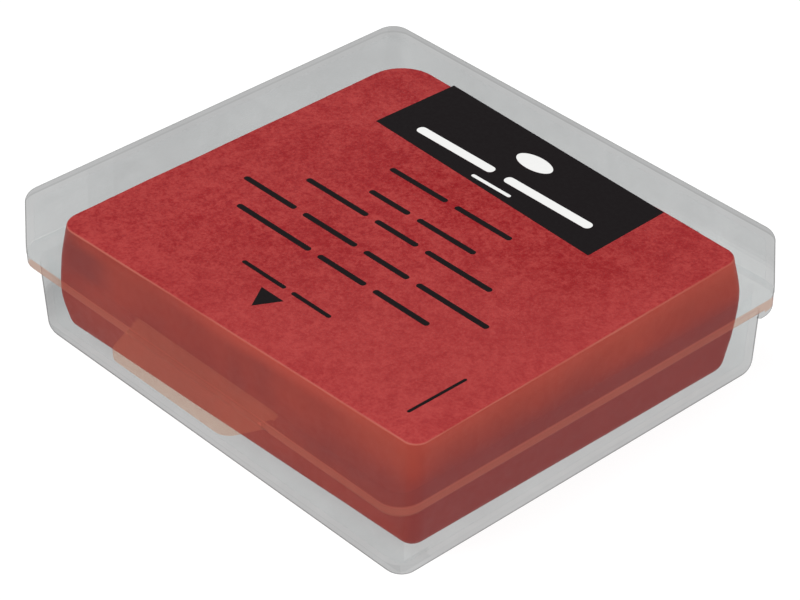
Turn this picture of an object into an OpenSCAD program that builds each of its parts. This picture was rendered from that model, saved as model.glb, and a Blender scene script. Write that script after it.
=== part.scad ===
// Hinged clear box holding a block of kneaded eraser.
// Millimetres. Origin at the middle of the box's underside, +Z up.
// -Y is the side with the thumb tab, +Y is the hinge side.

/* [Box] */
// Width of the closed box along X, across the lid
box_w = 45.9; // [44:0.1:60]
// Depth of the closed box along Y, across the lid, without tab and hinge
box_d = 41.4; // [40:0.1:60]
// Height of the closed box
box_h = 13.9; // [12.8:0.1:18]
// Height of the seam: top of the base flange
seam_z = 8.45; // [7.4:0.05:10]
// Thickness of the side walls
wall_t = 0.7; // [0.6:0.05:0.9]
// Corner radius of the lid in plan
corner_r = 2.1; // [1.8:0.1:3]

/* [Lid] */
// Taper of the lid's walls, each side, from seam to roof
lid_taper = 0.25; // [0.1:0.05:0.4]
// Rounding of the roof's outer edge
lid_edge_r = 0.8; // [0.5:0.1:1]
// Thickness of the roof
roof_t = 0.7; // [0.6:0.05:1]
// Gap between the lid's lower edge and the flange when closed
seam_gap = 0.05; // [0.03:0.01:0.1]

/* [Base] */
// How far the base wall stands in from the lid's outer face, each side
base_inset = 0.7; // [0.6:0.02:1]
// Taper of the base's walls, each side, from flange to floor
base_taper = 0.27; // [0.1:0.01:0.4]
// Rounding of the base's bottom edge
base_edge_r = 1.9; // [1.2:0.1:2]
// Thickness of the floor
floor_t = 1; // [0.8:0.05:1.2]

/* [Flange and tab] */
// Thickness of the flange round the top of the base
flange_t = 1; // [0.7:0.05:1.2]
// How far the flange stays inside the lid's outer face
flange_inset = 0.05; // [0.05:0.05:0.3]
// How much deeper the rim is along the hinge side
back_rim = 1.05; // [0.6:0.05:1.4]
// Width of the thumb tab where it leaves the flange
tab_w = 16.8; // [12:0.2:24]
// How much each side of the thumb tab draws in towards its end
tab_draw_in = 1; // [0.2:0.1:1.2]
// Reach of the thumb tab in front of the lid
tab_out = 3; // [2.4:0.1:6]
// Thickness of the thumb tab
tab_t = 0.7; // [0.6:0.05:0.9]
// Corner radius of the thumb tab in plan
tab_r = 1.5; // [1:0.1:1.8]
// Height of the snap lug that locates the lid's front wall
lug_h = 0.3; // [0.25:0.05:0.8]
// Thickness of the snap lug
lug_t = 0.35; // [0.3:0.05:0.5]

/* [Hinge] */
// Width of the moulded hinge web at the back
hinge_w = 26; // [16:1:32]
// Radius of the rounded bend of the web
hinge_r = 0.3; // [0.2:0.02:0.3]
// How far the hinge axis stands behind the lid's outer face
hinge_out = 0.55; // [0.5:0.05:0.8]

/* [Eraser] */
// Width of the block along X at its top
block_w = 40.6; // [34:0.2:40.6]
// Depth of the block along Y at its top
block_d = 37; // [32:0.2:37]
// How far the block lies from the middle, towards the hinge
block_y = 0.3; // [0:0.05:0.3]
// Height of the block
block_h = 10.2; // [8:0.1:10.4]
// Corner radius of the block in plan
block_r = 2.6; // [2.2:0.1:4]
// Bulge of the block's sides at mid height
block_bulge = 0.3; // [0.1:0.05:0.3]

/* [Hidden] */
STEPS = 6;
BACK_Y = box_d / 2;
FRONT_Y = -box_d / 2;
HINGE_Y = BACK_Y + hinge_out;
HINGE_Z = seam_z + seam_gap / 2;

// Points of a quarter round in a profile, from angle a to angle b.
function arc_pts(r0, z0, r, a, b) = [for (i = [0:STEPS]) let (t = a + (b - a) * i / STEPS) [r0 + r * cos(t), z0 + r * sin(t)]];

// A rounded rectangular block whose wall follows one profile all round.
// prof is a list of [distance out from the corner axis, height], going up;
// cx and cy are the corner axes' distances from the middle.
module walled_block(cx, cy, prof) {
    lo = prof[0][1];
    hi = prof[len(prof) - 1][1];
    for (sx = [-1, 1], sy = [-1, 1])
        translate([sx * cx, sy * cy, 0])
            rotate_extrude($fn = 64) polygon(concat([[0, lo]], prof, [[0, hi]]));
    translate([0, cy, 0]) rotate([90, 0, 0])
        linear_extrude(2 * cy) polygon(both_sides(cx, prof));
    translate([-cx, 0, 0]) rotate([90, 0, 90])
        linear_extrude(2 * cx) polygon(both_sides(cy, prof));
}

// The profile at distance c from the middle, and its mirror image, as one outline.
function both_sides(c, prof) = concat(
    [for (p = prof) [c + p[0], p[1]]],
    [for (i = [len(prof) - 1:-1:0]) [-c - prof[i][0], prof[i][1]]]);

// Outer and inner profiles of the base's wall.
base_r = base_edge_r + base_taper + 0.03;
base_cx = box_w / 2 - base_inset - base_r;
base_cy = box_d / 2 - base_inset - base_r;
function base_outer() = concat(
    arc_pts(base_r - base_taper - base_edge_r, base_edge_r, base_edge_r, -90, 0),
    [[base_r, seam_z - flange_t], [base_r, seam_z]]);
function base_inner() = let (q = base_edge_r - wall_t - 0.2) concat(
    arc_pts(base_r - base_taper - wall_t - q, floor_t + q, q, -90, 0),
    [[base_r - wall_t, seam_z - flange_t], [base_r - wall_t, seam_z + 1]]);

// The flange's edge, lightly rounded underneath.
flange_cx = box_w / 2 - corner_r;
flange_cy = box_d / 2 - corner_r;
flange_r = corner_r - flange_inset;
function flange_edge() = [
    [flange_r - 0.2, seam_z - flange_t],
    [flange_r - 0.06, seam_z - flange_t + 0.06],
    [flange_r, seam_z - flange_t + 0.2],
    [flange_r, seam_z]];

// Outer profile of the deeper rim on the hinge side, rounded underneath.
back_lo = seam_z - flange_t - back_rim;
function back_edge() = concat(
    arc_pts(flange_r - 0.5, back_lo + 0.5, 0.5, -90, 0),
    [[flange_r, back_lo + back_rim + 0.5]]);

module deep_back_rim() {
    intersection() {
        walled_block(flange_cx, flange_cy, back_edge());
        translate([-box_w, flange_cy - 0.2, back_lo - 1]) cube([2 * box_w, box_d, back_rim + 2]);
    }
}

module base() {
    color("#c9cccd")
    union() {
        difference() {
            union() {
                walled_block(base_cx, base_cy, base_outer());
                walled_block(flange_cx, flange_cy, flange_edge());
                deep_back_rim();
                tab();
            }
            walled_block(base_cx, base_cy, base_inner());
        }
        snap_lug();
        hinge_bend();
    }
}

// Point where a line from p touches the circle of radius r about c, on its outer side.
function touch(p, c, r) = let (v = c - p, l = norm(v), a = atan2(v[1], v[0]) + asin(r / l), k = sqrt(l * l - r * r)) [p[0] + k * cos(a), p[1] + k * sin(a)];

// Thumb tab: a plate in line with the top of the flange, drawn in towards its rounded end.
module tab() {
    end_y = FRONT_Y - tab_out;
    root = [tab_w / 2, FRONT_Y + 0.5];
    c = [tab_w / 2 - tab_draw_in - tab_r, end_y + tab_r];
    t = touch(root, c, tab_r);
    translate([0, 0, seam_z - tab_t]) linear_extrude(tab_t) {
        polygon([[-root[0], root[1] + 1.5], [-root[0], root[1]], [-t[0], t[1]], [-c[0], c[1]], [c[0], c[1]], t, root, [root[0], root[1] + 1.5]]);
        translate([-c[0], end_y]) square([2 * c[0], tab_r + 0.5]);
        for (x = [-c[0], c[0]]) translate([x, c[1]]) circle(tab_r, $fn = 48);
    }
}

// Snap lug: a low wall behind the tab that the lid's front wall closes over.
module snap_lug() {
    y_out = FRONT_Y + wall_t + 0.05;
    r = lug_h * 0.8;
    translate([0, y_out + lug_t, seam_z - 0.3]) rotate([90, 0, 0])
        linear_extrude(lug_t) {
            translate([-tab_w / 2, 0]) square([tab_w, 0.3 + lug_h - r]);
            translate([-tab_w / 2 + r, 0]) square([tab_w - 2 * r, 0.3 + lug_h]);
            for (x = [-1, 1]) translate([x * (tab_w / 2 - r), 0.3 + lug_h - r]) circle(r, $fn = 32);
        }
}

// Base half of the hinge web: a thin strip that ends in the bend.
module hinge_bend() {
    translate([-hinge_w / 2, BACK_Y - 0.5, HINGE_Z - hinge_r * 0.95])
        cube([hinge_w, HINGE_Y - BACK_Y + 0.5, hinge_r * 0.95 - seam_gap / 2]);
    translate([-hinge_w / 2, HINGE_Y, HINGE_Z]) rotate([0, 90, 0])
        cylinder(r = hinge_r, h = hinge_w, $fn = 32);
}

// Outer and inner profiles of the lid's wall.
lid_lo = seam_z + seam_gap;
lid_in_r = max(lid_edge_r - 0.4, 0.2);
lid_cx = box_w / 2 - corner_r;
lid_cy = box_d / 2 - corner_r;
function lid_outer() = concat(
    [[corner_r - 0.2, lid_lo], [corner_r - 0.06, lid_lo + 0.06], [corner_r, lid_lo + 0.2]],
    arc_pts(corner_r - lid_taper - lid_edge_r, box_h - lid_edge_r, lid_edge_r, 0, 90));
function lid_inner() = concat(
    [[corner_r - wall_t, lid_lo - 1], [corner_r - wall_t, lid_lo]],
    arc_pts(corner_r - lid_taper - wall_t - lid_in_r, box_h - roof_t - lid_in_r, lid_in_r, 0, 90));

module lid() {
    color("#d4d7d8")
    union() {
        difference() {
            walled_block(lid_cx, lid_cy, lid_outer());
            walled_block(lid_cx, lid_cy, lid_inner());
        }
        hinge_root();
    }
}

// Lid half of the hinge web: it stops just short of the bend.
module hinge_root() {
    translate([-hinge_w / 2, BACK_Y - 0.5, lid_lo])
        cube([hinge_w, HINGE_Y - hinge_r - 0.05 - BACK_Y + 0.5, hinge_r * 0.95]);
}

// Side profile of the block: rounded below, softly bulging, rounded above.
low_r = 1.2;
top_r = 0.7;
function block_side() = concat(
    arc_pts(block_r - low_r, floor_t + low_r, low_r, -90, 0),
    [for (i = [1:4]) let (t = i / 5) [block_r + block_bulge * sin(180 * t), floor_t + low_r + t * (block_h - low_r - top_r)]],
    arc_pts(block_r - top_r, floor_t + block_h - top_r, top_r, 0, 90));

module eraser() {
    color("#b43a3e")
        translate([0, block_y, 0])
            walled_block(block_w / 2 - block_r, block_d / 2 - block_r, block_side());
}

base();
lid();
eraser();
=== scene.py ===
import math

import bmesh
import bpy
import numpy as np
from mathutils import Matrix, Vector, noise


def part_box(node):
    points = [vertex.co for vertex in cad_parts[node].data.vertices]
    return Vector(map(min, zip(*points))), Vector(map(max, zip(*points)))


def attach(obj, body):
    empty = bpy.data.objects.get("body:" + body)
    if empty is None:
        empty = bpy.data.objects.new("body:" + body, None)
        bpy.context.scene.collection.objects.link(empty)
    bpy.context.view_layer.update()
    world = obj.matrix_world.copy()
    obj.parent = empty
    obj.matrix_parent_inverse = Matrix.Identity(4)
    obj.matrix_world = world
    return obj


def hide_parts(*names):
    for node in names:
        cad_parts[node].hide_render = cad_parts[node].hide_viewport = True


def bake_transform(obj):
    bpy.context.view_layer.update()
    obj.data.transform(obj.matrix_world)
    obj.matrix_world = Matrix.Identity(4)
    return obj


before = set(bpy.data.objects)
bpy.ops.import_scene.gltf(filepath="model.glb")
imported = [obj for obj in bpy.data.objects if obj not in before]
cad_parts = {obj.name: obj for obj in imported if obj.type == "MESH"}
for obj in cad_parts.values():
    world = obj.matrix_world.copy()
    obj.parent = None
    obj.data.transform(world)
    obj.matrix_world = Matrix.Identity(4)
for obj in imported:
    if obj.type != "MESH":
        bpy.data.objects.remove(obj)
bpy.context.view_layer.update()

MM = 0.001
scene = bpy.context.scene
base_lo, base_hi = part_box("base")
lid_lo, lid_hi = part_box("lid")
block_lo, block_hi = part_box("eraser")
TOP = lid_hi.z / MM
HALF_X = lid_hi.x / MM
HALF_Y = -lid_lo.y / MM
SEAM = lid_lo.z / MM - 0.05


# ---------------------------------------------------------------- mesh helpers

def corner_ring(corners, radii, z, n_arc, n_x, n_y):
    """A closed ring round four corners (+x+y, -x+y, -x-y, +x-y), each rounded by its own radius."""
    pts = []
    sides = (n_x, n_y, n_x, n_y)
    c = [np.array(p, float) for p in corners]
    starts, ends = [], []
    for i in range(4):
        e_in = c[i] - c[i - 1]
        e_in = e_in / np.linalg.norm(e_in)
        e_out = c[(i + 1) % 4] - c[i]
        e_out = e_out / np.linalg.norm(e_out)
        r = radii[i]
        o = c[i] - r * e_in + r * e_out
        arc = [o + r * (-e_out * math.cos(t) + e_in * math.sin(t)) for t in np.linspace(0, math.pi / 2, n_arc + 1)]
        starts.append(arc)
        ends.append(arc[-1])
    for i in range(4):
        pts.extend(starts[i])
        a, b = starts[i][-1], starts[(i + 1) % 4][0]
        n = sides[i]
        for k in range(1, n):
            pts.append(a + (b - a) * k / n)
    return [(p[0], p[1], z) for p in pts]


def box_ring(cx, cy, rho, z, n_arc=10, n_x=16, n_y=14):
    """A rounded rectangle whose corner axes are at (cx, cy), rho out from them."""
    hx, hy, r = cx + rho, cy + rho, max(rho, 0.02)
    return corner_ring([(hx, hy), (-hx, hy), (-hx, -hy), (hx, -hy)], [r] * 4, z, n_arc, n_x, n_y)


def loft(name, rings, caps=(True, True)):
    """A closed skin through the rings, with a point in the middle of each end."""
    n = len(rings[0])
    verts = [(x * MM, y * MM, z * MM) for ring in rings for x, y, z in ring]
    faces = []
    for k in range(len(rings) - 1):
        a, b = k * n, (k + 1) * n
        for i in range(n):
            j = (i + 1) % n
            faces.append((a + i, a + j, b + j, b + i))
    for at_end, wanted in enumerate(caps):
        if not wanted:
            continue
        ring = rings[-1] if at_end else rings[0]
        first = (len(rings) - 1) * n if at_end else 0
        centre = len(verts)
        m = np.array(ring).mean(0)
        verts.append((m[0] * MM, m[1] * MM, m[2] * MM))
        for i in range(n):
            j = (i + 1) % n
            faces.append((first + i, first + j, centre) if at_end else (first + j, first + i, centre))
    return make(name, verts, faces)


def make(name, verts, faces):
    me = bpy.data.meshes.new(name)
    me.from_pydata(verts, [], faces)
    me.validate()
    bm = bmesh.new()
    bm.from_mesh(me)
    bmesh.ops.remove_doubles(bm, verts=bm.verts, dist=1e-7)
    bmesh.ops.recalc_face_normals(bm, faces=bm.faces)
    bm.to_mesh(me)
    bm.free()
    ob = bpy.data.objects.new(name, me)
    scene.collection.objects.link(ob)
    return ob


def plate(name, outline, z0, z1, bevel=0.0, segments=2):
    """A flat plate with that outline in mm, its edges rounded."""
    n = len(outline)
    verts = [(x * MM, y * MM, z0 * MM) for x, y in outline] + [(x * MM, y * MM, z1 * MM) for x, y in outline]
    faces = [tuple(range(n - 1, -1, -1)), tuple(range(n, 2 * n))]
    faces += [(i, (i + 1) % n, n + (i + 1) % n, n + i) for i in range(n)]
    ob = make(name, verts, faces)
    if bevel:
        rounded(ob, bevel, segments)
    return ob


def rounded(ob, width, segments):
    bm = bmesh.new()
    bm.from_mesh(ob.data)
    edges = [e for e in bm.edges if e.calc_face_angle(0) > math.radians(50)]
    bmesh.ops.bevel(bm, geom=edges, offset=width * MM, segments=segments, profile=0.5, affect="EDGES")
    bm.to_mesh(ob.data)
    bm.free()


def united(ob, others):
    """Joins the others into ob as one closed skin."""
    for o in others:
        mod = ob.modifiers.new("join", "BOOLEAN")
        mod.operation = "UNION"
        mod.solver = "EXACT"
        mod.object = o
    dg = bpy.context.evaluated_depsgraph_get()
    me = bpy.data.meshes.new_from_object(ob.evaluated_get(dg))
    ob.modifiers.clear()
    ob.data = me
    for o in others:
        bpy.data.objects.remove(o)
    return ob


def smooth(ob, degrees=32):
    for p in ob.data.polygons:
        p.use_smooth = True
    ob.data.set_sharp_from_angle(angle=math.radians(degrees))


def arc(r0, z0, r, a, b, n):
    return [(r0 + r * math.cos(math.radians(t)), z0 + r * math.sin(math.radians(t))) for t in np.linspace(a, b, n + 1)]


# ------------------------------------------------------------ material helpers

def new_material(name):
    m = bpy.data.materials.new(name)
    m.use_nodes = True
    m.node_tree.nodes.clear()
    return m, m.node_tree


def add(nt, kind, **sets):
    n = nt.nodes.new(kind)
    for k, v in sets.items():
        if hasattr(n, k) and k not in n.inputs:
            setattr(n, k, v)
        else:
            n.inputs[k].default_value = v
    return n


def remap(nt, source, a, b, c, d, kind="SMOOTHSTEP"):
    n = nt.nodes.new("ShaderNodeMapRange")
    n.interpolation_type = kind
    n.inputs["From Min"].default_value = a
    n.inputs["From Max"].default_value = b
    n.inputs["To Min"].default_value = c
    n.inputs["To Max"].default_value = d
    nt.links.new(source, n.inputs["Value"])
    return n.outputs["Result"]


def maths(nt, op, a, b=None):
    n = nt.nodes.new("ShaderNodeMath")
    n.operation = op
    for i, v in enumerate((a, b)):
        if v is None:
            continue
        if isinstance(v, (int, float)):
            n.inputs[i].default_value = v
        else:
            nt.links.new(v, n.inputs[i])
    return n.outputs[0]


def colours(nt, fac, a, b):
    n = nt.nodes.new("ShaderNodeMix")
    n.data_type = "RGBA"
    if isinstance(fac, (int, float)):
        n.inputs["Factor"].default_value = fac
    else:
        nt.links.new(fac, n.inputs["Factor"])
    for socket, v in ((n.inputs[6], a), (n.inputs[7], b)):
        if isinstance(v, tuple):
            socket.default_value = (*v, 1)
        else:
            nt.links.new(v, socket)
    return n.outputs[2]


def grain(nt, place, scale, detail=3.0, rough=0.55, distortion=0.0, stretch=None):
    n = nt.nodes.new("ShaderNodeTexNoise")
    n.inputs["Scale"].default_value = scale
    n.inputs["Detail"].default_value = detail
    n.inputs["Roughness"].default_value = rough
    n.inputs["Distortion"].default_value = distortion
    if stretch:
        m = nt.nodes.new("ShaderNodeMapping")
        m.inputs["Scale"].default_value = stretch
        nt.links.new(place, m.inputs["Vector"])
        place = m.outputs["Vector"]
    nt.links.new(place, n.inputs["Vector"])
    return n.outputs["Fac"]


def clear_plastic(name, tint, seed, veil_amount=0.0008, tint_and_glow=None, side_edge=0.7):
    """Thin clear moulded plastic. Its outer skin takes and veils the light, its inner skin hardly shows.
    How much a face lets in and lets out and how much it shows is stored on the face; how strongly the plastic
    takes a tint and a painted glow of the block's colour is stored on the points. Such plastic holds back the first
    value of the light, tints it by the second and, as painted light, glows in the block's colour, the third, though it
    is no lamp."""
    m, nt = new_material(name)
    out = add(nt, "ShaderNodeOutputMaterial")
    coord = add(nt, "ShaderNodeTexCoord")
    shift = add(nt, "ShaderNodeMapping")
    shift.inputs["Location"].default_value = (seed, seed * 0.7, seed * 1.3)
    nt.links.new(coord.outputs["Object"], shift.inputs["Vector"])
    place = shift.outputs["Vector"]
    facing = add(nt, "ShaderNodeLayerWeight", Blend=0.5)
    rim = remap(nt, facing.outputs["Facing"], 0.70, 0.97, 0.0, 1.0)
    clouds = grain(nt, place, 110, 2.0, 0.5)
    smears = grain(nt, place, 240, 3.0, 0.5, 1.2)
    fine = grain(nt, place, 900, 3.0, 0.6)
    side = add(nt, "ShaderNodeNewGeometry")
    back = side.outputs["Backfacing"]
    stored = {}
    for key in ("let_in", "let_out", "show", "tint_and_glow"):
        n = add(nt, "ShaderNodeAttribute", attribute_name=key)
        stored[key] = n.outputs["Fac"]
    show = stored["show"]
    step = nt.nodes.new("ShaderNodeMix")
    step.data_type = "FLOAT"
    nt.links.new(back, step.inputs["Factor"])
    nt.links.new(stored["let_in"], step.inputs[2])
    nt.links.new(stored["let_out"], step.inputs[3])
    through = step.outputs[0]
    dark = maths(nt, "MULTIPLY", maths(nt, "MULTIPLY", rim, side_edge), show)
    through = maths(nt, "MULTIPLY", through, maths(nt, "SUBTRACT", 1.0, dark))
    vary = maths(nt, "ADD", remap(nt, clouds, 0.3, 0.7, -0.016, 0.016), remap(nt, smears, 0.35, 0.7, -0.012, 0.012))
    through = maths(nt, "MULTIPLY", through, maths(nt, "ADD", 1.0, maths(nt, "MULTIPLY", vary, show)))
    if tint_and_glow:
        share = maths(nt, "MULTIPLY", stored["tint_and_glow"], maths(nt, "SUBTRACT", 1.0, back))
        share = maths(nt, "MULTIPLY", share, remap(nt, clouds, 0.25, 0.75, 0.93, 1.07, "LINEAR"))
        if tint_and_glow[1]:
            through = maths(nt, "MULTIPLY", through, maths(nt, "SUBTRACT", 1.0, maths(nt, "MULTIPLY", share, tint_and_glow[0])))
            tint = colours(nt, share, tint, tint_and_glow[1])
    lens = add(nt, "ShaderNodeBsdfTransparent")
    nt.links.new(colours(nt, through, (0.0, 0.0, 0.0), tint), lens.inputs["Color"])
    veil = add(nt, "ShaderNodeBsdfDiffuse")
    veil.inputs["Roughness"].default_value = 0.4
    nt.links.new(colours(nt, fine, (0.66, 0.675, 0.685), (0.72, 0.74, 0.75)), veil.inputs["Color"])
    amount = maths(nt, "ADD", remap(nt, rim, 0, 1, veil_amount, 0.01, "LINEAR"), remap(nt, clouds, 0.35, 0.75, -0.0003, 0.0006))
    body = add(nt, "ShaderNodeMixShader")
    nt.links.new(maths(nt, "MULTIPLY", amount, show), body.inputs["Fac"])
    nt.links.new(lens.outputs[0], body.inputs[1])
    nt.links.new(veil.outputs[0], body.inputs[2])
    gloss = add(nt, "ShaderNodeBsdfAnisotropic")
    nt.links.new(remap(nt, clouds, 0.3, 0.7, 0.08, 0.13), gloss.inputs["Roughness"])
    gloss.inputs["Color"].default_value = (0.9, 0.9, 0.9, 1)
    bump = add(nt, "ShaderNodeBump")
    bump.inputs["Strength"].default_value = 0.1
    bump.inputs["Distance"].default_value = 0.00006
    nt.links.new(clouds, bump.inputs["Height"])
    nt.links.new(bump.outputs[0], gloss.inputs["Normal"])
    mirror = maths(nt, "MULTIPLY_ADD", maths(nt, "POWER", facing.outputs["Facing"], 8.0), 0.35)
    mirror.node.inputs[2].default_value = 0.0004
    mirror = maths(nt, "MULTIPLY", mirror, show)
    mix = add(nt, "ShaderNodeMixShader")
    nt.links.new(mirror, mix.inputs["Fac"])
    nt.links.new(body.outputs[0], mix.inputs[1])
    nt.links.new(gloss.outputs[0], mix.inputs[2])
    if tint_and_glow:
        # Painted glow: an emission in the block's colour stands in for the block's red light carried in the thick rim
        # and tab.
        painted_glow = add(nt, "ShaderNodeEmission")
        nt.links.new(colours(nt, smears, tuple(x * 0.94 for x in tint_and_glow[2]), tuple(x * 1.06 for x in tint_and_glow[2])), painted_glow.inputs["Color"])
        nt.links.new(share, painted_glow.inputs["Strength"])
        both = add(nt, "ShaderNodeAddShader")
        nt.links.new(mix.outputs[0], both.inputs[0])
        nt.links.new(painted_glow.outputs[0], both.inputs[1])
        mix = both
    nt.links.new(mix.outputs[0], out.inputs["Surface"])
    return m


def store(ob, rule):
    """Stores what rule says of each face, from its middle in mm and its normal: (let_in, let_out, show)."""
    rows = [rule(p.center / MM, p.normal) for p in ob.data.polygons]
    for i, key in enumerate(("let_in", "let_out", "show")):
        at = ob.data.attributes.new(key, "FLOAT", "FACE")
        at.data.foreach_set("value", [float(r[i]) for r in rows])


def eased_step(a, b, x):
    t = min(max((x - a) / (b - a), 0.0), 1.0)
    return t * t * (3 - 2 * t)


def towards_front(c, cx, cy):
    """Whether the point lies on the -Y or +X side of the box, not on the hinge side or the -X side."""
    qx, qy = max(abs(c.x) - cx, 0.0), max(abs(c.y) - cy, 0.0)
    return math.copysign(qx, c.x) * 1.1 > math.copysign(qy, c.y)


def out_from(c, cx, cy):
    """How far a point stands out from the rectangle of the corner axes."""
    qx, qy = abs(c.x) - cx, abs(c.y) - cy
    return math.hypot(qx, qy) if qx > 0 and qy > 0 else max(qx, qy)


# ------------------------------------------------------------------- materials

CLEAR = 0.709
HIDDEN = (1.0, 1.0, 0.04)
TINT = (0.995, 1.0, 1.0)
base_clear = clear_plastic("base_clear", (0.992, 1.0, 1.0), 0.4)
lid_clear = clear_plastic("lid_clear", TINT, 2.1)
# The rim and the tab are tinted and carry a painted glow of the block's colour (an emission); the tab's part inside the
# lid carries only the painted glow.
rim_tinted_glowing = clear_plastic("rim_tinted_glowing", TINT, 3.7, tint_and_glow=(0.37, (0.995, 0.965, 0.83), (0.178, 0.057, 0.043)))
tab_tinted_glowing = clear_plastic("tab_tinted_glowing", TINT, 5.2, tint_and_glow=(0.31, (1.0, 0.97, 0.82), (0.153, 0.045, 0.034)))
tab_inside_glowing = clear_plastic("tab_inside_glowing", TINT, 6.1, tint_and_glow=(0.0, None, (0.081, 0.033, 0.016)))


def putty_material():
    """Soft red eraser putty: a fine speckle where it lies bare, smoother and browner on the sides, whose colour partly
    holds the painted haze and reflection of the walls in front, with painted light, shade and highlights on them.
    """
    m, nt = new_material("putty")
    out = add(nt, "ShaderNodeOutputMaterial")
    coord = add(nt, "ShaderNodeTexCoord")
    place = coord.outputs["Object"]
    clouds = grain(nt, place, 95, 3.0, 0.5)
    patches = grain(nt, place, 420, 3.0, 0.55, 0.4)
    mid = grain(nt, place, 1500, 3.0, 0.6, 0.3)
    small = grain(nt, place, 4600, 2.0, 0.6)
    flecks = grain(nt, place, 1150, 4.0, 0.62, 0.5)
    specks = maths(nt, "ADD", maths(nt, "MULTIPLY", mid, 0.45), maths(nt, "MULTIPLY", small, 0.55))
    lean = maths(nt, "ADD", specks, maths(nt, "MULTIPLY", maths(nt, "SUBTRACT", patches, 0.5), 0.30))
    lean = maths(nt, "ADD", lean, maths(nt, "MULTIPLY", maths(nt, "SUBTRACT", clouds, 0.5), 0.22))
    tone = remap(nt, lean, 0.38, 0.62, 0.0, 1.0, "LINEAR")
    top_colour = colours(nt, tone, TOP_TONES[0], TOP_TONES[1])
    deep = colours(nt, remap(nt, flecks, 0.57, 0.72, 0.0, 0.55), top_colour, TOP_TONES[2])
    deep = colours(nt, remap(nt, flecks, 0.42, 0.24, 0.0, 0.4), deep, TOP_TONES[3])
    split = add(nt, "ShaderNodeSeparateXYZ")
    nt.links.new(place, split.inputs[0])
    across = maths(nt, "SUBTRACT", split.outputs["X"], maths(nt, "MULTIPLY", split.outputs["Y"], 0.9))
    deep = colours(nt, remap(nt, across, -0.004, 0.020, 0.0, 0.30), deep, TOP_TONES[4])
    up = add(nt, "ShaderNodeNewGeometry")
    nrm = add(nt, "ShaderNodeSeparateXYZ")
    nt.links.new(up.outputs["Normal"], nrm.inputs[0])
    soft = grain(nt, place, 105, 2.0, 0.5)
    spots = grain(nt, place, 75, 2.0, 0.4, 0.6)
    side_colour = colours(nt, remap(nt, soft, 0.32, 0.68, 0.0, 1.0), SIDE_TONES[0], SIDE_TONES[1])
    side_colour = colours(nt, remap(nt, spots, 0.55, 0.75, 0.0, 0.65), side_colour, SIDE_TONES[2])
    # Painted light: the upper part of the sides is lightened towards the top, most on the +X side.
    painted_light_high = remap(nt, split.outputs["Z"], 0.0072, 0.0112, 0.0, 1.0)
    side_colour = colours(nt, maths(nt, "MULTIPLY", painted_light_high, remap(nt, nrm.outputs["X"], 0.2, 0.8, 0.15, 0.75)), side_colour, SIDE_TONES[3])
    # Painted shade: the lower part of the sides is darkened towards the bottom, most on the +X side.
    painted_shade_low = remap(nt, split.outputs["Z"], 0.0066, 0.0086, 1.0, 0.0)
    side_colour = colours(nt, maths(nt, "MULTIPLY", painted_shade_low, remap(nt, nrm.outputs["X"], 0.2, 0.8, 0.1, 0.9)), side_colour, SIDE_TONES[4])
    side_colour = colours(nt, remap(nt, mid, 0.4, 0.7, 0.0, 0.10), side_colour, SIDE_TONES[2])
    # Painted highlight: a lighter strip just under the top edge, growing towards the front corner.
    painted_highlight_crest = maths(nt, "MULTIPLY", remap(nt, split.outputs["Z"], 0.0096, 0.0111, 0.0, 0.85), remap(nt, split.outputs["X"], -0.015, 0.004, 0.0, 1.0))
    painted_highlight_crest = maths(nt, "MULTIPLY", painted_highlight_crest, remap(nt, nrm.outputs["X"], 0.3, 0.9, 1.0, 0.45))
    side_colour = colours(nt, painted_highlight_crest, side_colour, SIDE_TONES[5])
    # Painted light: the upper -Y side is lightened near the front corner.
    painted_light_corner = maths(nt, "MULTIPLY", remap(nt, split.outputs["X"], 0.009, 0.018, 0.0, 0.75), remap(nt, split.outputs["Z"], 0.0062, 0.0100, 0.0, 1.0))
    painted_light_corner = maths(nt, "MULTIPLY", painted_light_corner, remap(nt, nrm.outputs["Y"], -0.2, -0.8, 0.0, 1.0))
    side_colour = colours(nt, painted_light_corner, side_colour, SIDE_TONES[3])
    # Painted shade: a darker patch on the left part of the -Y side.
    painted_shade_left = maths(nt, "MULTIPLY", remap(nt, split.outputs["X"], -0.0125, -0.0165, 0.0, 1.0), remap(nt, split.outputs["X"], -0.0205, -0.0185, 0.0, 1.0))
    painted_shade_left = maths(nt, "MULTIPLY", painted_shade_left, maths(nt, "MULTIPLY", remap(nt, split.outputs["Z"], 0.0068, 0.0082, 0.0, 1.0), remap(nt, split.outputs["Z"], 0.0108, 0.0096, 0.0, 1.0)))
    painted_shade_left = maths(nt, "MULTIPLY", painted_shade_left, remap(nt, nrm.outputs["Y"], -0.2, -0.8, 0.0, 1.0))
    side_colour = colours(nt, painted_shade_left, side_colour, SIDE_TONES[2])
    # Painted light: the rounded corner between the -Y and +X sides is lightened.
    painted_light_turn = maths(nt, "MULTIPLY", nrm.outputs["X"], maths(nt, "MULTIPLY", nrm.outputs["Y"], -1.0))
    side_colour = colours(nt, remap(nt, painted_light_turn, 0.15, 0.5, 0.0, 0.15), side_colour, SIDE_TONES[6])
    flat = remap(nt, nrm.outputs["Z"], 0.60, 0.80, 0.0, 1.0)
    colour = colours(nt, flat, side_colour, deep)
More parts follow.
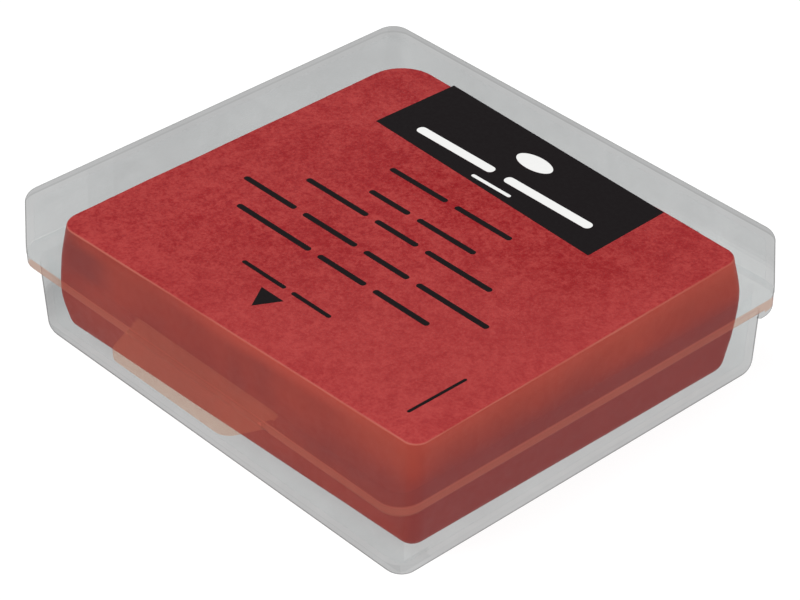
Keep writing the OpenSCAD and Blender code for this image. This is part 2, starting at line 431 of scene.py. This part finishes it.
    # Painted highlight: a lighter pink line along the rounded top edge.
    painted_highlight_arris = maths(nt, "MULTIPLY", remap(nt, nrm.outputs["Z"], 0.25, 0.55, 0.0, 1.0), remap(nt, nrm.outputs["Z"], 0.75, 0.93, 1.0, 0.0))
    painted_highlight_arris = maths(nt, "MULTIPLY", painted_highlight_arris, remap(nt, clouds, 0.35, 0.65, 0.35, 0.75))
    colour = colours(nt, painted_highlight_arris, colour, (0.67, 0.176, 0.127))
    p = add(nt, "ShaderNodeBsdfPrincipled")
    nt.links.new(colour, p.inputs["Base Color"])
    nt.links.new(remap(nt, mid, 0.3, 0.7, 0.42, 0.58), p.inputs["Roughness"])
    p.inputs["Specular IOR Level"].default_value = 0.25
    bump = add(nt, "ShaderNodeBump")
    bump.inputs["Strength"].default_value = 0.3
    bump.inputs["Distance"].default_value = 0.00006
    nt.links.new(specks, bump.inputs["Height"])
    nt.links.new(bump.outputs[0], p.inputs["Normal"])
    nt.links.new(p.outputs[0], out.inputs["Surface"])
    return m


TOP_TONES = ((0.421, 0.0142, 0.0193), (0.604, 0.0616, 0.0580), (0.393, 0.0095, 0.0193), (0.604, 0.0760, 0.0665), (0.622, 0.0820, 0.0770))
# SIDE_TONES: [0] to [2] the sides' tones, partly the walls' painted haze and reflection; [2] also the painted shade at
# the left of the -Y side; [3] painted light; [4] painted shade; [5] painted highlight; [6] painted light on the rounded
# front corner.
SIDE_TONES = ((0.358, 0.0409, 0.0292), (0.420, 0.0512, 0.0325), (0.292, 0.0409, 0.0340), (0.492, 0.0645, 0.0360), (0.287, 0.0425, 0.0393), (0.600, 0.0795, 0.0510), (0.430, 0.0530, 0.0400))
putty = putty_material()


def ink_material(name, colour, rough, spread):
    m, nt = new_material(name)
    out = add(nt, "ShaderNodeOutputMaterial")
    coord = add(nt, "ShaderNodeTexCoord")
    g = grain(nt, coord.outputs["Object"], 2500, 3.0, 0.6)
    p = add(nt, "ShaderNodeBsdfPrincipled")
    nt.links.new(colours(nt, g, tuple(x * (1 - spread) for x in colour), tuple(x * (1 + spread) for x in colour)), p.inputs["Base Color"])
    nt.links.new(remap(nt, g, 0.3, 0.7, rough - 0.08, rough + 0.08), p.inputs["Roughness"])
    p.inputs["Specular IOR Level"].default_value = 0.06
    nt.links.new(p.outputs[0], out.inputs["Surface"])
    return m


ink = ink_material("ink_black", (0.0085, 0.0063, 0.0070), 0.6, 0.25)
ink_white = ink_material("ink_white", (0.84, 0.84, 0.83), 0.5, 0.03)


# ------------------------------------------------------------------------- lid

CX, CY = HALF_X - 2.1, HALF_Y - 2.1
lo = SEAM + 0.05


def shrink(cx, cy, z, steps, n=(10, 16, 14)):
    """Rings that close a flat end in towards its middle."""
    return [box_ring(cx * s, cy * s, 0.3 * s + 0.02, z, *n) for s in steps]


lip = SEAM + 0.018
outer_up = [(1.52, lip), (2.03, lip), (2.08, lip), (2.1, lip + 0.02), (2.1, lip + 0.1)]
outer_up += [(2.1 - 0.25 * (z - lo - 0.3) / (13.1 - lo - 0.3), z) for z in (9.2, 9.7, 10.1, 10.5, 10.9, 11.3, 11.7, 12.1, 12.5, 12.92)]
outer_up += arc(1.05, TOP - 0.8, 0.8, 0, 90, 10)
inner_down = [(0.3, TOP - 0.7)] + arc(0.75, TOP - 1.1, 0.4, 90, 0, 6)
inner_down += [(1.15 + 0.25 * (12.8 - z) / (12.8 - lo), z) for z in (12.0, 11.0, 10.0, 9.2)]
inner_down += [(1.4, lip + 0.06), (1.45, lip + 0.01)]
rings = shrink(CX, CY, TOP, (0.3, 0.6, 0.85, 0.96))
rings += [box_ring(CX, CY, r, z) for r, z in [(0.6, TOP)] + outer_up[::-1]]
rings += [box_ring(CX, CY, r, z) for r, z in inner_down[::-1]]
rings += shrink(CX, CY, TOP - 0.7, (0.96, 0.85, 0.6, 0.3))
lid = loft("lid_shell", rings)
lid.data.materials.append(lid_clear)
root = plate("root", [(-13, HALF_Y - 0.5), (13, HALF_Y - 0.5), (13, HALF_Y + 0.2), (-13, HALF_Y + 0.2)], lo, lo + 0.285, 0.06)
root.data.materials.append(lid_clear)
lid = united(lid, [root])


def lid_rule(c, n):
    rho = out_from(c, CX, CY)
    if c.y > HALF_Y + 0.005 and c.z < lo + 0.3:
        return 0.92, 0.92, 0.6
    if c.z < 13.25 and rho < 1.62:
        return HIDDEN
    if c.z < lip + 0.06 and n.z < -0.8:
        return HIDDEN if rho < 2.03 or towards_front(c, CX, CY) else (CLEAR, CLEAR, 1)
    if n.z > 0.97 and c.z > TOP - 0.05:
        return CLEAR, CLEAR, 1
    if c.z > 12.92:
        return CLEAR, (0.635 if c.z > 13.1 else 0.585) - (0.03 if n.y > 0.5 else 0), 1
    side = 0.652 + eased_step(-8, -17, c.y) * (0.035 + 0.03 * eased_step(11.8, 10.4, c.z))
    back = 0.672 + eased_step(6, 18, c.x) * (0.0 + 0.08 * eased_step(10.8, 9.2, c.z))
    if n.y < 0:
        back = side if n.x < 0 else CLEAR
    if n.x > 0:
        side = back
    w = n.x * n.x / (n.x * n.x + n.y * n.y + 1e-9)
    return CLEAR, w * side + (1 - w) * back - (0.16 * w * (1 - w) if n.x < 0 < n.y else 0), 1


store(lid, lid_rule)
smooth(lid, 30)
lid.visible_shadow = False
lid.visible_diffuse = False
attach(lid, "lid")
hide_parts("lid")

# ------------------------------------------------------------------------ base

BX, BY = HALF_X - 0.7 - 2.2, HALF_Y - 0.7 - 2.2
FX, FY = HALF_X - 2.1, HALF_Y - 2.1
low = SEAM - 1.0


def base_ring(rho, z):
    return box_ring(BX, BY, rho, z)


def flange_ring(rho, z):
    return box_ring(FX, FY, rho, z)


rings = shrink(BX, BY, 0.0, (0.3, 0.6, 0.85, 0.96))
rings += [base_ring(r, z) for r, z in arc(0.03, 1.9, 1.9, -90, 0, 12)]
rings += [base_ring(1.93 + 0.27 * (z - 1.9) / (low - 1.9), z) for z in (2.5, 3.2, 3.6, 4.0, 4.4, 4.8, 5.2, 5.6, 6.2, 6.77, 7.2)]
rings += [base_ring(2.2, low - 0.06), base_ring(2.22, low - 0.015), base_ring(2.28, low)]
rings += [flange_ring(r, z) for r, z in ((1.86, low), (1.98, low + 0.05), (2.04, low + 0.14), (2.05, low + 0.25), (2.05, low + 0.37), (2.05, low + 0.49), (2.05, low + 0.61), (2.05, low + 0.73), (2.05, low + 0.86), (2.05, SEAM - 0.015), (2.03, SEAM))]
rings += [base_ring(1.62, SEAM), base_ring(1.53, SEAM - 0.03), base_ring(1.5, SEAM - 0.12), base_ring(1.5, low)]
rings += [base_ring(1.5 - 0.27 * (low - z) / (low - 2.0), z) for z in (6.2, 4.8, 3.4)]
rings += [base_ring(r, z) for r, z in arc(0.23, 2.0, 1.0, 0, -90, 8)]
rings += shrink(BX, BY, 1.0, (0.96, 0.85, 0.6, 0.3))
base = loft("base_tray", rings)

tab_outline = []
root_x, end_x, end_y, tr = 8.4, 7.4, -HALF_Y - 3.0, 1.5
back_y = -HALF_Y + 1.05


def tab_corner(sx):
    """The tab's rounded end corner on side sx, going from its side to its end."""
    cx, cy = end_x - tr, end_y + tr
    root = Vector((root_x, -HALF_Y + 0.5))
    c = Vector((cx, cy))
    v = c - root
    length = v.length
    a = math.atan2(v.y, v.x) + math.asin(tr / length)
    k = math.sqrt(length * length - tr * tr)
    t = root + Vector((math.cos(a), math.sin(a))) * k
    start = math.atan2(t.y - cy, t.x - cx)
    pts = [(cx + tr * math.cos(w), cy + tr * math.sin(w)) for w in np.linspace(start, -math.pi / 2, 11)]
    return [(sx * x, y) for x, y in pts]


br = 0.55
tab_outline += [(root_x, -HALF_Y + 0.5)]
tab_outline += [(8.6 - br + br * math.cos(w), back_y - br + br * math.sin(w)) for w in np.linspace(0, math.pi / 2, 7)]
tab_outline += [(-(8.6 - br) - br * math.sin(w), back_y - br + br * math.cos(w)) for w in np.linspace(0, math.pi / 2, 7)]
tab_outline += [(-root_x, -HALF_Y + 0.5)]
tab_outline += tab_corner(-1)
tab_outline += tab_corner(1)[::-1]
tab = plate("tab", tab_outline, SEAM - 0.7, SEAM + 0.006, 0.09, 3)

lug_y = -HALF_Y + 0.75
lug_pts = [(-8.4, SEAM - 0.25), (8.4, SEAM - 0.25)]
lug_r = 0.24
lug_pts += [(8.4 - lug_r + lug_r * math.cos(w), SEAM + 0.3 - lug_r + lug_r * math.sin(w)) for w in np.linspace(0, math.pi / 2, 7)]
lug_pts += [(-8.4 + lug_r - lug_r * math.sin(w), SEAM + 0.3 - lug_r + lug_r * math.cos(w)) for w in np.linspace(0, math.pi / 2, 7)]
n = len(lug_pts)
verts = [(x * MM, lug_y * MM, z * MM) for x, z in lug_pts] + [(x * MM, (lug_y + 0.35) * MM, z * MM) for x, z in lug_pts]
faces = [tuple(range(n)), tuple(range(2 * n - 1, n - 1, -1))] + [(i, n + i, n + (i + 1) % n, (i + 1) % n) for i in range(n)]
lug = make("lug", verts, faces)
rounded(lug, 0.05, 2)

# The rim is deeper along the hinge side.
DEEP = low - 1.05


def quarter(cx, cy, r, a, b, n=10):
    return [(cx + r * math.cos(math.radians(w)), cy + r * math.sin(math.radians(w))) for w in np.linspace(a, b, n + 1)]


ledge_outline = [(FX + 2.045, FY - 0.2)] + quarter(FX, FY, 2.045, 0, 90) + quarter(-FX, FY, 2.045, 90, 180) + [(-FX - 2.045, FY - 0.2)]
ledge_outline += [(-BX - 1.86, FY - 0.2)] + quarter(-BX, BY, 1.86, 170, 90) + quarter(BX, BY, 1.86, 90, 10) + [(BX + 1.86, FY - 0.2)]
ledge = plate("ledge", ledge_outline, DEEP, low + 0.3)
bm = bmesh.new()
bm.from_mesh(ledge.data)
edges = []
for e in bm.edges:
    mid = (e.verts[0].co + e.verts[1].co) / 2 / MM
    if mid.z < DEEP + 0.001 and out_from(mid, FX, FY) > 1.8 and e.calc_face_angle(0) > 1:
        edges.append(e)
bmesh.ops.bevel(bm, geom=edges, offset=0.85 * MM, segments=8, profile=0.5, affect="EDGES")
for z in (7.2, low - 0.16, low - 0.02, low + 0.1):
    bmesh.ops.bisect_plane(bm, geom=bm.verts[:] + bm.edges[:] + bm.faces[:], plane_co=(0, 0, z * MM), plane_no=(0, 0, 1))
bmesh.ops.bisect_plane(bm, geom=bm.verts[:] + bm.edges[:] + bm.faces[:], plane_co=((FX + 1.97) * MM, 0, (low + 0.05) * MM), plane_no=(0.742, 0, -0.670))
bm.to_mesh(ledge.data)
bm.free()
base = united(base, [tab, lug, ledge])
base.name = "base_tray"
bm = bmesh.new()
bm.from_mesh(base.data)
EDGE = -0.559 * BX - 0.829 * BY - 2.2
cuts = [((0, -HALF_Y + y, 0), (0, 1, 0)) for y in (0.028, -0.3, -0.54)] + [((x, 0, 0), (1, 0, 0)) for x in (-8.45, 8.45)]
cuts += [((0, 0, 6.87), (0, 0, 1)), ((0.559 * EDGE, 0.829 * EDGE, 0), (0.559, 0.829, 0))]
for at, across in cuts:
    bmesh.ops.bisect_plane(bm, geom=bm.verts[:] + bm.edges[:] + bm.faces[:], plane_co=Vector(at) * MM, plane_no=across)
bm.to_mesh(base.data)
bm.free()
for m in (base_clear, rim_tinted_glowing, tab_tinted_glowing, tab_inside_glowing):
    base.data.materials.append(m)


def base_rule(c, n):
    """Also says which plastic the face is in: clear, the rim or the tab tinted and with a painted glow of the block's
    colour, or the tab's part inside the lid with the painted glow only.
    """
    if abs(c.x) < 8.75 and c.y < -HALF_Y + 1.14 and c.z > SEAM + 0.002:
        if c.y > -HALF_Y + 0.028:
            return (1.0, 1.0, 0.1), 3
        return (CLEAR if c.y > -HALF_Y - 0.54 else 1.0, 1.0, 0.5), 2
    if abs(c.x) < 8.75 and c.y < -HALF_Y + 0.01 and c.z > low:
        return ((CLEAR if n.x > 0.3 and c.y > -HALF_Y - 0.3 else 1.0, 1.0, 0.5), 2) if n.z > -0.3 else (HIDDEN, 2)
    rho = out_from(c, FX, FY)
    front = towards_front(c, FX, FY) and 0.559 * c.x + 0.829 * c.y > EDGE
    if rho > 1.35 and c.y > FY - 0.25 and DEEP - 0.01 < c.z < low + 0.22 and n.z < 0.5:
        if n.y < -0.5 and abs(n.z) < 0.5:
            return (HIDDEN if c.z - low - 0.05 > 1.108 * (c.x - FX - 1.97) else (CLEAR, 1.0, 0.1)), 0
        return (CLEAR, 0.75, 1), 1 if c.z > low - 0.17 else 0
    if c.z > low - 0.005:
        if rho > 1.88 and c.z < SEAM - 0.001 and abs(n.z) < 0.75:
            plain = abs(c.x) < 8.45 and c.y < 0 and c.z < SEAM - 0.7
            return (CLEAR, CLEAR, 1), 0 if plain else 1
        return ((1.0, CLEAR, 0.3) if n.z < -0.5 and not front else HIDDEN), 0
    rho = out_from(c, BX, BY)
    front = towards_front(c, BX, BY)
    far = 0.75
    if n.x < -0.05 and n.z > -0.98:
        level = 0.570 - 0.045 * eased_step(2.0, 3.6, c.z) + 0.10 * eased_step(2.0, 0.3, c.z) + 0.125 * eased_step(3.8, 4.9, c.z) + 0.03 * eased_step(5.2, 6.6, c.z)
        w = n.x * n.x / (n.x * n.x + n.y * n.y + 1e-9)
        far = w * level + (1 - w) * (level + 0.04 if n.y < 0 else far)
    if n.z < -0.97 and c.z < 0.3:
        return (CLEAR, 0.685 if c.y < 2 - BY else 0.74, 1), 0
    if c.z < 1.9 and (rho > 1.35 or c.z < 0.95):
        return (0.64 if abs(n.y) > abs(n.x) else 0.69, far, 1), 0
    if rho > 1.7:
        if c.z > (6.87 if front and (n.x > 0.3 or c.x > 14) else 6.77):
            return (1.0, far, 0.04 if front else 1), 0
        return (CLEAR, far, 1), 0
    return HIDDEN, 0


rows = []
for p in base.data.polygons:
    values, p.material_index = base_rule(p.center / MM, p.normal)
    rows.append(values)
for i, key in enumerate(("let_in", "let_out", "show")):
    at = base.data.attributes.new(key, "FLOAT", "FACE")
    at.data.foreach_set("value", [float(r[i]) for r in rows])


def tint_and_glow_at(v):
    """The rim's and the tab's share of the tint and the painted glow of the block's colour; at the box's side corners
    it runs out low.
    """
    if abs(v.x) < 8.8 and v.y < -HALF_Y + 1.15:
        return 1.0
    qx, qy = abs(v.x) - FX, abs(v.y) - FY
    top, bottom = SEAM, low
    if qx > 0 and qy > 0 and not (v.x > 0 and v.y < 0):
        if v.x < 0 and v.y < 0:
            a = math.degrees(math.atan2(qx, qy))
            top = SEAM - min(1.1 * (a / 27) ** 2, 1.6) * eased_step(78, 45, a)
        else:
            t = min(math.degrees(math.atan2(qy, qx)) / 48, 1.3)
            top, bottom = SEAM - 0.75 * t * t, low - 0.38 * t * t
    elif v.y > FY:
        return 1.0 if v.z > low - 0.02 else 0.0
    return eased_step(top + 0.05, top - 0.12, v.z) * eased_step(bottom - 0.16, bottom + 0.02, v.z)


# Each point's share of the tint and the painted glow of the block's colour.
at = base.data.attributes.new("tint_and_glow", "FLOAT", "POINT")
at.data.foreach_set("value", [tint_and_glow_at(v.co / MM) for v in base.data.vertices])
smooth(base, 30)
base.visible_shadow = False
base.visible_diffuse = False
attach(base, "base")
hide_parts("base")

# ------------------------------------------------------------------ hinge film

AX_Y, AX_Z = HALF_Y + 0.55, SEAM + 0.025
path = []
for s in np.linspace(0, 1, 5)[:-1]:
    path.append((AX_Y - 0.95 + 0.95 * s, AX_Z, -1))
for w in np.linspace(-90, 90, 13):
    path.append((AX_Y, AX_Z, w))
for s in np.linspace(0, 1, 5)[1:]:
    path.append((AX_Y - 0.95 * s, AX_Z, 1))
inner_line, outer_line = [], []
for y, z, w in path:
    if w == -1:
        inner_line.append((y, z - 0.05)), outer_line.append((y, z - 0.29))
    elif w == 1:
        inner_line.append((y, z + 0.05)), outer_line.append((y, z + 0.29))
    else:
        a = math.radians(w)
        inner_line.append((y + 0.05 * math.cos(a), z + 0.05 * math.sin(a)))
        outer_line.append((y + 0.29 * math.cos(a), z + 0.29 * math.sin(a)))
section = outer_line + inner_line[::-1]
n = len(section)
xs = [-12.9, -12.8] + list(np.linspace(-12, 12, 13)) + [12.8, 12.9]
verts = []
for x in xs:
    verts += [(x * MM, y * MM, z * MM) for y, z in section]
faces = []
for k in range(len(xs) - 1):
    for i in range(n):
        j = (i + 1) % n
        faces.append((k * n + i, k * n + j, (k + 1) * n + j, (k + 1) * n + i))
half = n // 2
for k, flip in ((0, False), (len(xs) - 1, True)):
    for i in range(half - 1):
        q = (k * n + i, k * n + i + 1, k * n + n - 2 - i, k * n + n - 1 - i)
        faces.append(q[::-1] if flip else q)
film = make("hinge_film", verts, faces)
film.data.materials.append(clear_plastic("film_clear", TINT, 7.3))
store(film, lambda c, n: (0.92, 0.92, 0.6))
smooth(film, 50)
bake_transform(film)

# ---------------------------------------------------------------------- eraser

BOT, HIGH = 1.0, block_hi.z / MM
LEVELS = (1.0, 4.4, 7.8, 11.2)
CORNERS = (
    ((20.4, 17.75), (-20.2, 18.6), (-20.65, -17.95), (20.05, -16.85)),
    ((20.45, 18.4), (-20.3, 18.85), (-20.75, -18.55), (20.5, -16.95)),
    ((20.45, 18.75), (-20.4, 19.1), (-20.55, -18.6), (20.68, -17.02)),
    ((20.05, 18.55), (-20.4, 19.55), (-20.4, -18.3), (20.72, -16.96)),
)
RADII = ((1.9, 3.1, 1.4, 1.2), (1.3, 3.2, 1.0, 1.15), (1.1, 3.3, 1.2, 1.2), (1.5, 3.6, 1.9, 1.25))


def eased(table, z):
    """The table's row at height z, on a smooth curve through the rows at LEVELS."""
    t = np.array(table, float)
    k = min(max(int(np.searchsorted(LEVELS, z)) - 1, 0), 2)
    u = (z - LEVELS[k]) / (LEVELS[k + 1] - LEVELS[k])
    a, b = t[k], t[k + 1]
    ta = (t[k + 1] - t[k - 1]) / 2 if k > 0 else b - a
    tb = (t[k + 2] - t[k]) / 2 if k < 2 else b - a
    return a * (2 * u**3 - 3 * u**2 + 1) + b * (3 * u**2 - 2 * u**3) + ta * (u**3 - 2 * u**2 + u) + tb * (u**3 - u**2)


def block_ring(inset, z):
    """A ring of the block at height z, pulled in by inset."""
    corners = eased(CORNERS, z) - np.array([(1, 1), (-1, 1), (-1, -1), (1, -1)]) * inset
    radii = [max(r - inset, 0.12 + 0.02 * i) for i, r in enumerate(eased(RADII, z))]
    return corner_ring(corners, radii, z, 10, 72, 66)


low_r, top_r = 0.8, 0.22
rings = []
for inset in (16.8, 16.0, 15, 13.5, 12, 10.5, 9, 7.5, 6.2, 5.2, 4.2, 3.2, 2.4, 1.7, 1.2):
    rings.append(block_ring(inset, BOT))
for w in np.linspace(-90, 0, 8):
    a = math.radians(w)
    rings.append(block_ring(low_r * (1 - math.cos(a)), BOT + low_r + low_r * math.sin(a)))
z0, z1 = BOT + low_r, HIGH - top_r
for s in np.linspace(0, 1, 25)[1:-1]:
    rings.append(block_ring(0, z0 + (z1 - z0) * s))
for w in np.linspace(0, 90, 9):
    a = math.radians(w)
    rings.append(block_ring(top_r * (1 - math.cos(a)), z1 + top_r * math.sin(a)))
for inset in list(np.arange(0.7, 17.0, 0.42)):
    rings.append(block_ring(inset, HIGH))
block = loft("putty_block", rings)

me = block.data
co = np.zeros(len(me.vertices) * 3)
me.vertices.foreach_get("co", co)
co = co.reshape(-1, 3)
nor = np.array([v.normal for v in me.vertices])
moved = co.copy()
for i, (p, q) in enumerate(zip(co / MM, nor)):
    v = Vector(p)
    broad = noise.noise(v * 0.11 + Vector((3.1, 7.7, 1.9)))
    soft = noise.noise(v * 0.33 + Vector((11.0, 2.0, 5.0)))
    grit = noise.fractal(v * 1.3, 0.8, 2.1, 3)
    side = 1 - abs(q[2])
    top = max(q[2], 0)
    d = side * (0.05 * broad + 0.03 * soft + 0.008 * grit) + top * (0.04 * broad + 0.022 * soft + 0.012 * grit)
    if q[2] < -0.7 or p[2] < BOT + 0.05:
        d = min(d, 0) * 0.2
    moved[i] = co[i] + q * d * MM
me.vertices.foreach_set("co", moved.ravel())
me.update()
me.materials.append(putty)
smooth(block, 60)
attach(block, "base")
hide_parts("eraser")

# ----------------------------------------------------------------- lid's print

INK_Z = TOP + 0.006
INK_T = 0.014


def bar(name, x0, x1, y0, y1, material, slope=0.0, end=0.0, z=INK_Z, t=INK_T):
    """A printed bar from x0 to x1, leaning by slope, with rounded ends."""
    pts = []
    r = min(end, (x1 - x0) / 2, (y1 - y0) / 2)
    if r > 0:
        for cx, cy, a in ((x1 - r, y1 - r, 0), (x0 + r, y1 - r, 90), (x0 + r, y0 + r, 180), (x1 - r, y0 + r, 270)):
            pts += [(cx + r * math.cos(math.radians(a + w)), cy + r * math.sin(math.radians(a + w))) for w in np.linspace(0, 90, 6)]
    else:
        pts = [(x1, y1), (x0, y1), (x0, y0), (x1, y0)]
    pts = [(x, y + slope * (x - (x0 + x1) / 2)) for x, y in pts]
    ob = plate(name, pts, z, z + t)
    ob.data.materials.append(material)
    ob.visible_shadow = False
    ob.visible_diffuse = False
    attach(ob, "lid")
    return ob


def patch(name, pts, material, z=INK_Z, t=INK_T):
    ob = plate(name, pts, z, z + t)
    ob.data.materials.append(material)
    ob.visible_shadow = False
    ob.visible_diffuse = False
    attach(ob, "lid")
    return ob


patch("print_field", [(14.29, 15.51), (-10.96, 16.51), (-11.2, 7.91), (14.47, 6.83)], ink)
patch("print_arrow", [(0.67, -14.47), (2.01, -16.62), (3.22, -14.47)], ink)
LINES = (
    (3.95, ((-5.0, 1.6), (2.6, 8.9))),
    (0.55, ((-3.7, 0.9), (1.9, 8.4))),
    (-2.0, ((-8.4, -1.2), (-0.2, 4.6), (5.6, 12.9))),
    (-5.5, ((-12.0, -5.8), (-4.8, 1.4), (2.4, 7.4), (8.4, 16.2))),
    (-8.5, ((-9.3, -0.6), (0.4, 5.8), (6.8, 12.9))),
)
for i, (y, words) in enumerate(LINES):
    for k, (x0, x1) in enumerate(words):
        bar("print_line_%d_%d" % (i + 1, k + 1), x0, x1, y - 0.27, y + 0.27, ink, 0.0, 0.25)
for k, (x0, x1) in enumerate(((-3.0, 2.0), (2.8, 7.2))):
    bar("print_note_%d" % (k + 1), x0, x1, -13.45, -13.05, ink, 0.0, 0.19)
for k, (x0, x1) in enumerate(((-8.0, 0.9), (2.3, 11.9))):
    bar("print_title_%d" % (k + 1), x0, x1, 9.3, 10.2, ink_white, 0.0, 0.42, INK_Z + INK_T, 0.008)
bar("print_title_3", 0.1, 4.5, 7.95, 8.3, ink_white, 0.0, 0.16, INK_Z + INK_T, 0.008)
patch("print_oval", [(2.3 + 1.9 * math.cos(w), 13.0 + 0.95 * math.sin(w)) for w in np.linspace(0, 2 * math.pi, 33)[:-1]], ink_white, INK_Z + INK_T, 0.008)
patch("print_edge_line", [(19.72, -16.9), (19.86, -16.8), (19.86, -11.1), (19.72, -11.0), (19.58, -11.1), (19.58, -16.8)], ink)

# ---------------------------------------------------------- floor, light, view

bm = bmesh.new()
bmesh.ops.create_grid(bm, x_segments=2, y_segments=2, size=3.0)
me = bpy.data.meshes.new("floor")
bm.to_mesh(me)
bm.free()
floor = bpy.data.objects.new("floor", me)
scene.collection.objects.link(floor)
m, nt = new_material("pale_floor")
out = add(nt, "ShaderNodeOutputMaterial")
d = add(nt, "ShaderNodeBsdfDiffuse")
d.inputs["Color"].default_value = (0.18, 0.18, 0.18, 1)
glow = add(nt, "ShaderNodeEmission")
glow.inputs["Strength"].default_value = 0.88
both = add(nt, "ShaderNodeAddShader")
nt.links.new(d.outputs[0], both.inputs[0])
nt.links.new(glow.outputs[0], both.inputs[1])
nt.links.new(both.outputs[0], out.inputs["Surface"])
floor.data.materials.append(m)
floor.location.z = -0.00004

world = bpy.data.worlds.new("studio")
scene.world = world
world.use_nodes = True
wt = world.node_tree
wt.nodes.clear()
wout = wt.nodes.new("ShaderNodeOutputWorld")
rays = wt.nodes.new("ShaderNodeLightPath")
bright = wt.nodes.new("ShaderNodeBackground")
bright.inputs["Color"].default_value = (1, 1, 1, 1)
bright.inputs["Strength"].default_value = 1.0
dim = wt.nodes.new("ShaderNodeBackground")
dim.inputs["Color"].default_value = (1, 1, 1, 1)
dim.inputs["Strength"].default_value = 0.55
wmix = wt.nodes.new("ShaderNodeMixShader")
wt.links.new(rays.outputs["Is Camera Ray"], wmix.inputs["Fac"])
wt.links.new(dim.outputs[0], wmix.inputs[1])
wt.links.new(bright.outputs[0], wmix.inputs[2])
wt.links.new(wmix.outputs[0], wout.inputs["Surface"])


def lamp(name, at, look, size, power):
    data = bpy.data.lights.new(name, "AREA")
    data.shape = "DISK"
    data.size = size
    data.energy = power
    ob = bpy.data.objects.new(name, data)
    scene.collection.objects.link(ob)
    ob.location = at
    ob.rotation_mode = "QUATERNION"
    ob.rotation_quaternion = (Vector(look) - Vector(at)).to_track_quat("-Z", "Y")
    return ob


lamp("key", (-0.25, -0.45, 0.75), (0, 0, 0), 0.5, 4.0)
lamp("fill", (0.75, 0.1, 0.55), (0, 0, 0), 0.6, 2.5)

cam_data = bpy.data.cameras.new("camera")
cam = bpy.data.objects.new("camera", cam_data)
scene.collection.objects.link(cam)
scene.camera = cam
az, el, roll = math.radians(47.7347276), math.radians(35.2624931), math.radians(-0.163848)
dist, tx, ty, focal = 245.61, 0.24734904, 4.43337694, 3013.04156
zc = Vector((math.sin(az) * math.cos(el), -math.cos(az) * math.cos(el), math.sin(el)))
xc = Vector((0, 0, 1)).cross(zc).normalized()
yc = zc.cross(xc)
xr = xc * math.cos(roll) + yc * math.sin(roll)
yr = -xc * math.sin(roll) + yc * math.cos(roll)
cam.location = (xr * tx + yr * ty + zc * dist) * MM
cam.rotation_mode = "QUATERNION"
cam.rotation_quaternion = Matrix((xr, yr, zc)).transposed().to_quaternion()
cam_data.sensor_width = 36
cam_data.lens = focal * 36 / 800
cam_data.clip_start = 0.001
cam_data.clip_end = 20

scene.view_settings.view_transform = "Standard"
scene.view_settings.look = "None"
scene.view_settings.exposure = 0.0
scene.cycles.transparent_max_bounces = 48
scene.cycles.max_bounces = 12
